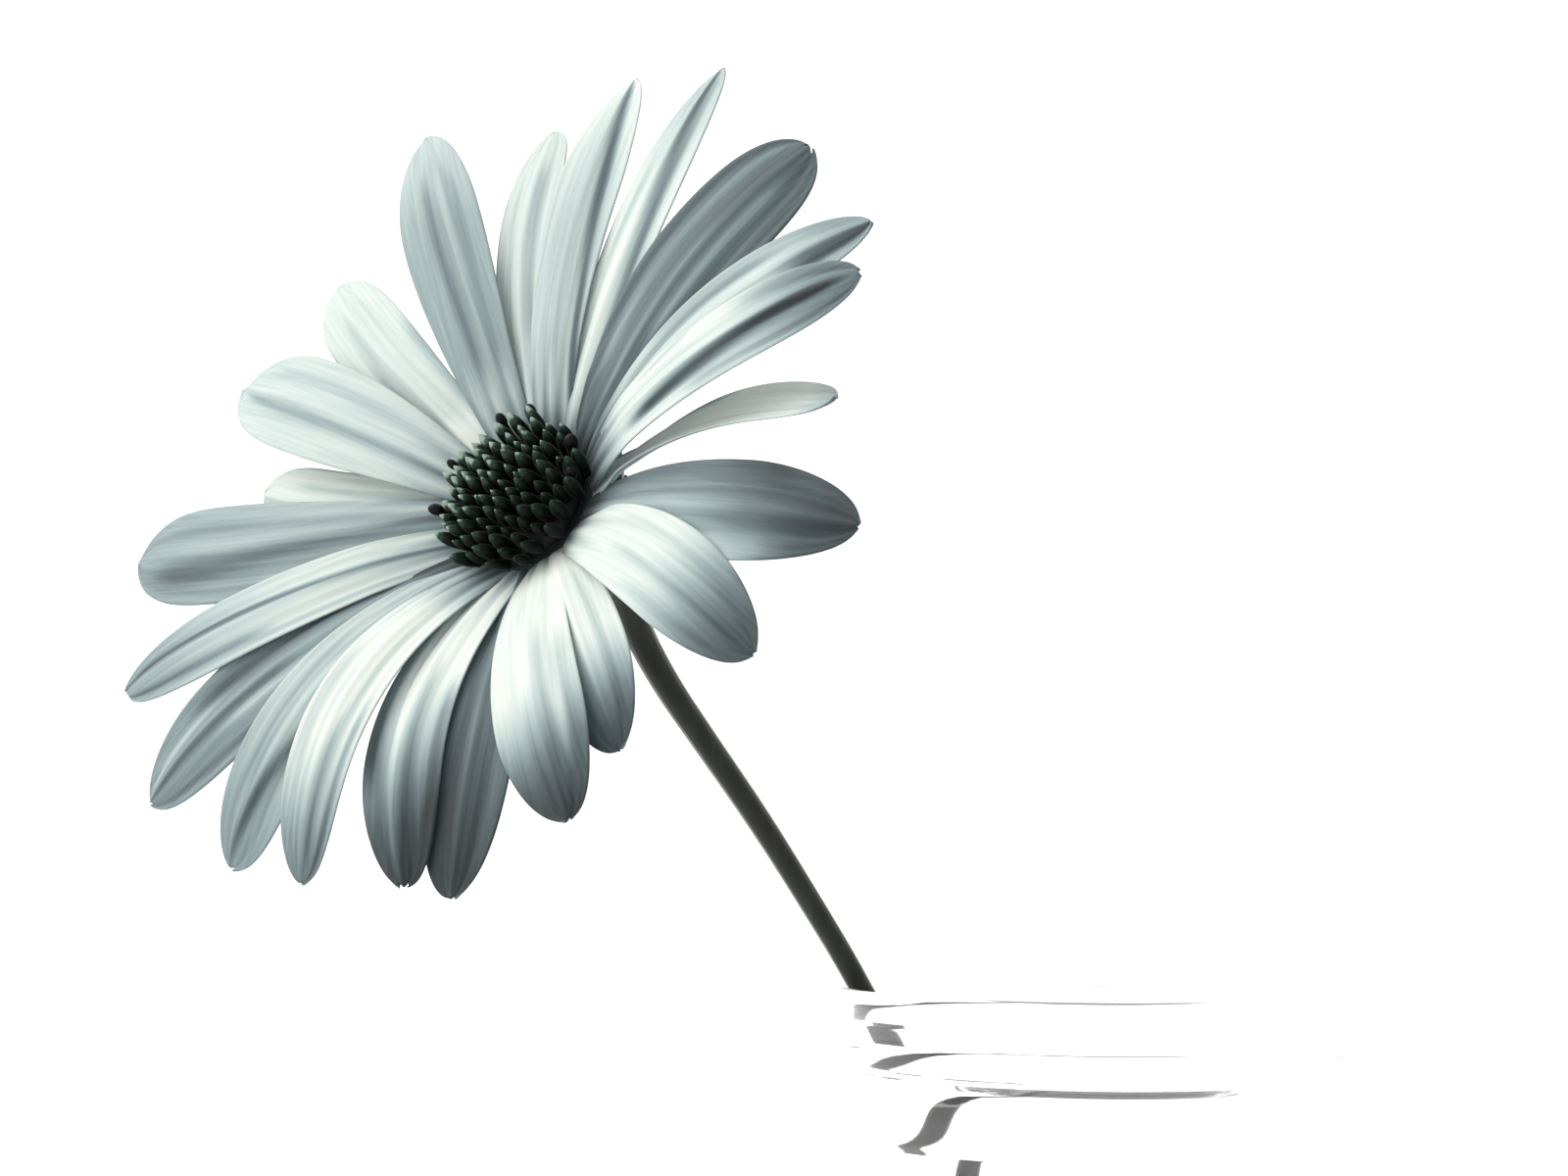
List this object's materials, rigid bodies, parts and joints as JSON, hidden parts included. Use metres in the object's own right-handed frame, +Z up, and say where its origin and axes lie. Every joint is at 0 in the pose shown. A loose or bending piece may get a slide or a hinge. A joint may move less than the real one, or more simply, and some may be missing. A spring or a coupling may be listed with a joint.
{
  "type": "daisy in vase",
  "caption": "A cut daisy with long notched petals and a dark floret disc, leaning over the rolled lip of a small clear glass vase of water.",
  "frame": {"origin": "centre of the vase's flat foot, on the surface it stands on", "axes": "+Z up along the vase; the flower leans towards -X and its face looks towards -X and -Y, the picture's side"},
  "size_m": [0.0956, 0.0567, 0.1542],
  "materials": {
    "vase": "clear polished glass",
    "water": "clear water",
    "stem": "fine-haired green stalk, cup and bracts",
    "petals": "white petals with slate stripes, satin",
    "disc": "dark blue-green florets"
  },
  "bodies": {
    "root": {"vase": "vase", "water": "water", "stem": "stem", "petals": "petals", "disc": "disc"}
  },
  "joints": []
}
